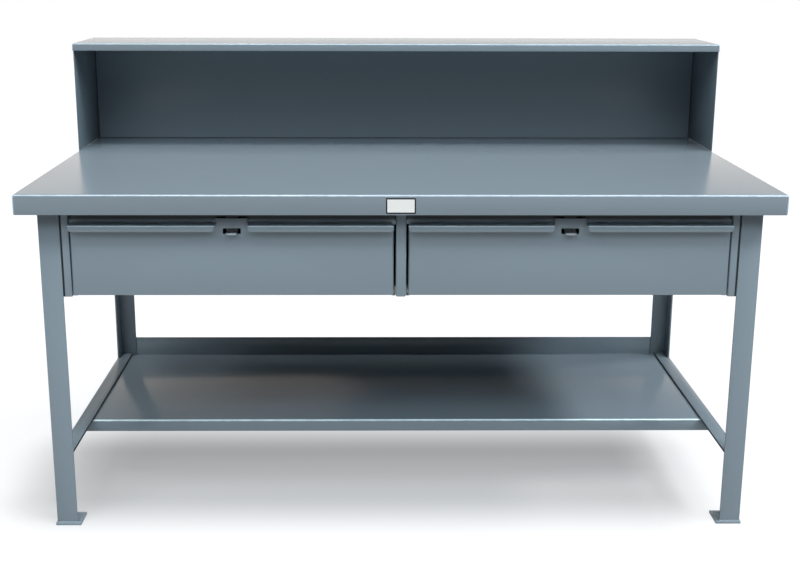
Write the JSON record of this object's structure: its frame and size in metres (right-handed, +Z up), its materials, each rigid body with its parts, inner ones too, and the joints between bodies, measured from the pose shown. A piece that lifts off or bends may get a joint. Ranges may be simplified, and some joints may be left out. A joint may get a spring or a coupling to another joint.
{
  "type": "work table",
  "caption": "Welded steel work table with a back riser, a half-depth lower shelf and two lockable drawers side by side on roller slides.",
  "frame": {"origin": "on the floor under the middle of the table", "axes": "+X along the table, to the right of someone at its front; +Y from the front to the riser; +Z up"},
  "size_m": [1.8288, 0.9147, 1.1684],
  "materials": {
    "enamel": "semi-gloss grey-blue enamel",
    "label": "white film with a black border",
    "zinc": "zinc plated",
    "nylon": "natural nylon"
  },
  "bodies": {
    "frame": {"worktop": "enamel", "top_stiffener": "enamel", "leg_front_left": "enamel", "leg_front_right": "enamel", "leg_rear_left": "enamel", "leg_rear_right": "enamel", "foot_pad_front_left": "enamel", "foot_pad_front_right": "enamel", "foot_pad_rear_left": "enamel", "foot_pad_rear_right": "enamel", "stretcher_left": "enamel", "stretcher_right": "enamel", "lower_shelf": "enamel", "shelf_stiffener": "enamel", "riser_side_left": "enamel", "riser_side_right": "enamel", "riser_back": "enamel", "riser_shelf": "enamel", "case_side_left": "enamel", "case_side_right": "enamel", "case_divider": "enamel", "case_back": "enamel", "header_rail_left": "enamel", "header_rail_right": "enamel", "hasp_tongue_left": "enamel", "hasp_tongue_right": "enamel", "label_plate": "label", "case_rail_left_outer": "zinc", "case_rail_left_inner": "zinc", "case_rail_right_inner": "zinc", "case_rail_right_outer": "zinc", "case_rail_rivets": "zinc", "front_roller_pins": "zinc"},
    "drawer_left": {"drawer_front_left": "enamel", "drawer_pan_left": "enamel", "drawer_rail_left_outer": "zinc", "drawer_rail_left_inner": "zinc", "drawer_rivets_left": "zinc", "rear_roller_pins_left": "zinc"},
    "front_rollers_left": {"front_rollers_left": "nylon"},
    "rear_rollers_left": {"rear_rollers_left": "nylon"},
    "drawer_right": {"drawer_front_right": "enamel", "drawer_pan_right": "enamel", "drawer_rail_right_inner": "zinc", "drawer_rail_right_outer": "zinc", "drawer_rivets_right": "zinc", "rear_roller_pins_right": "zinc"},
    "front_rollers_right": {"front_rollers_right": "nylon"},
    "rear_rollers_right": {"rear_rollers_right": "nylon"}
  },
  "joints": [
    {"name": "left_drawer_slide", "type": "slide", "parent": "frame", "child": "drawer_left", "axis": [0, -1, 0], "range_m": [0, 0.375]},
    {"name": "left_front_rollers_turn", "type": "hinge", "parent": "frame", "child": "front_rollers_left", "pos_m": [-0.4065, -0.3862, 0.6113], "axis": [1, 0, 0], "range_deg": [-1, 2865.8]},
    {"name": "left_rear_rollers_turn", "type": "hinge", "parent": "drawer_left", "child": "rear_rollers_left", "pos_m": [-0.4065, 0.0766, 0.61395], "axis": [1, 0, 0], "range_deg": [-1, 2047.3]},
    {"name": "right_drawer_slide", "type": "slide", "parent": "frame", "child": "drawer_right", "axis": [0, -1, 0], "range_m": [0, 0.375]},
    {"name": "right_front_rollers_turn", "type": "hinge", "parent": "frame", "child": "front_rollers_right", "pos_m": [0.4065, -0.3862, 0.6113], "axis": [1, 0, 0], "range_deg": [-1, 2865.8]},
    {"name": "right_rear_rollers_turn", "type": "hinge", "parent": "drawer_right", "child": "rear_rollers_right", "pos_m": [0.4065, 0.0766, 0.61395], "axis": [1, 0, 0], "range_deg": [-1, 2047.3]}
  ],
  "couplings": [
    {"joint": "left_front_rollers_turn", "follows": "left_drawer_slide", "rad_per_m": 133.33},
    {"joint": "left_rear_rollers_turn", "follows": "left_drawer_slide", "rad_per_m": 95.238},
    {"joint": "right_front_rollers_turn", "follows": "right_drawer_slide", "rad_per_m": 133.33},
    {"joint": "right_rear_rollers_turn", "follows": "right_drawer_slide", "rad_per_m": 95.238}
  ]
}
